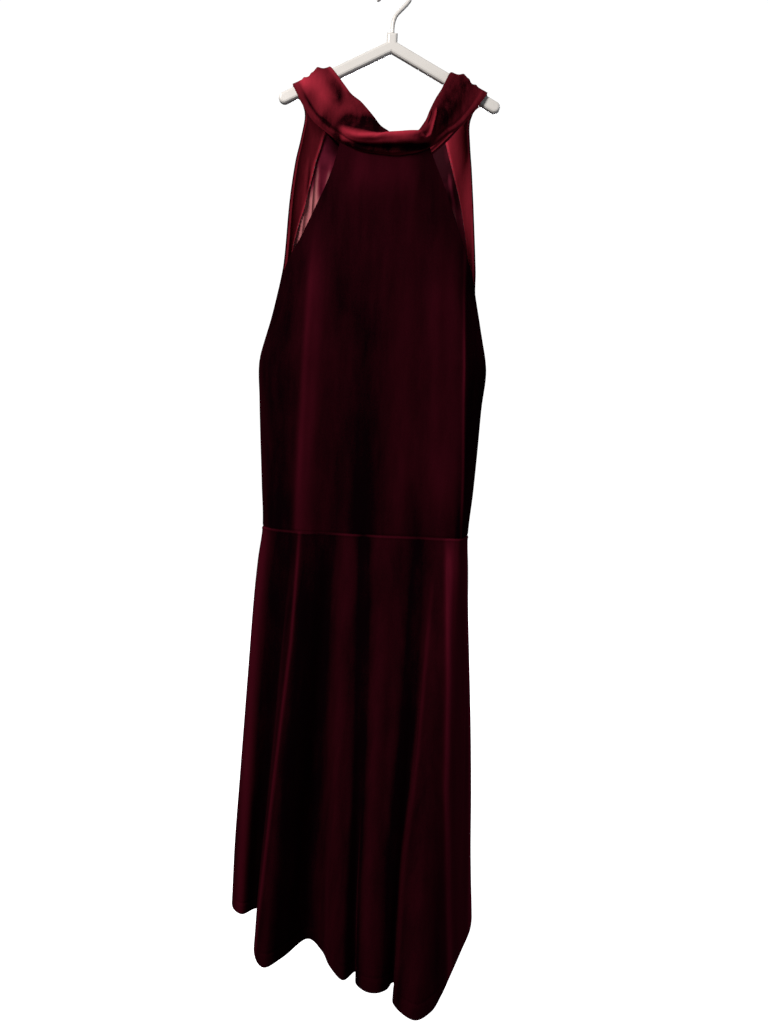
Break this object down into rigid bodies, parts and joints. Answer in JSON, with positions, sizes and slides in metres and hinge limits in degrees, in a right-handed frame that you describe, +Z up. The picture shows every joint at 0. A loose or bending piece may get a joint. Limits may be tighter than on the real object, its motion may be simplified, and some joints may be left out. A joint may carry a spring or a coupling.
{
  "type": "sleeveless dress on a clothes hanger",
  "caption": "Long sleeveless dress in dark wine velvet with a halter-cut front, a soft stand collar and a flared skirt, hanging empty on a plain plastic hanger.",
  "frame": {"origin": "the highest point inside the hanger's hook, where it rests on its rail", "axes": "+Z up along the dress, +X to the right as seen from the front, -Y out of the front"},
  "size_m": [0.3069, 0.261, 1.1144],
  "materials": {
    "velvet": "dark wine stretch velvet with a short nap that lights up red at grazing angles",
    "satin": "thin wine satin lining with a soft gloss",
    "hanger_plastic": "plain white moulded plastic, softly glossy"
  },
  "bodies": {
    "root": {"front_bodice": "velvet", "back_bodice": "velvet", "skirt_front": "velvet", "skirt_back": "velvet", "collar_band": "velvet", "armhole_facing_left": "velvet", "armhole_facing_right": "velvet", "back_lining": "satin", "hanger_body": "hanger_plastic", "hanger_hook": "hanger_plastic"}
  },
  "joints": []
}
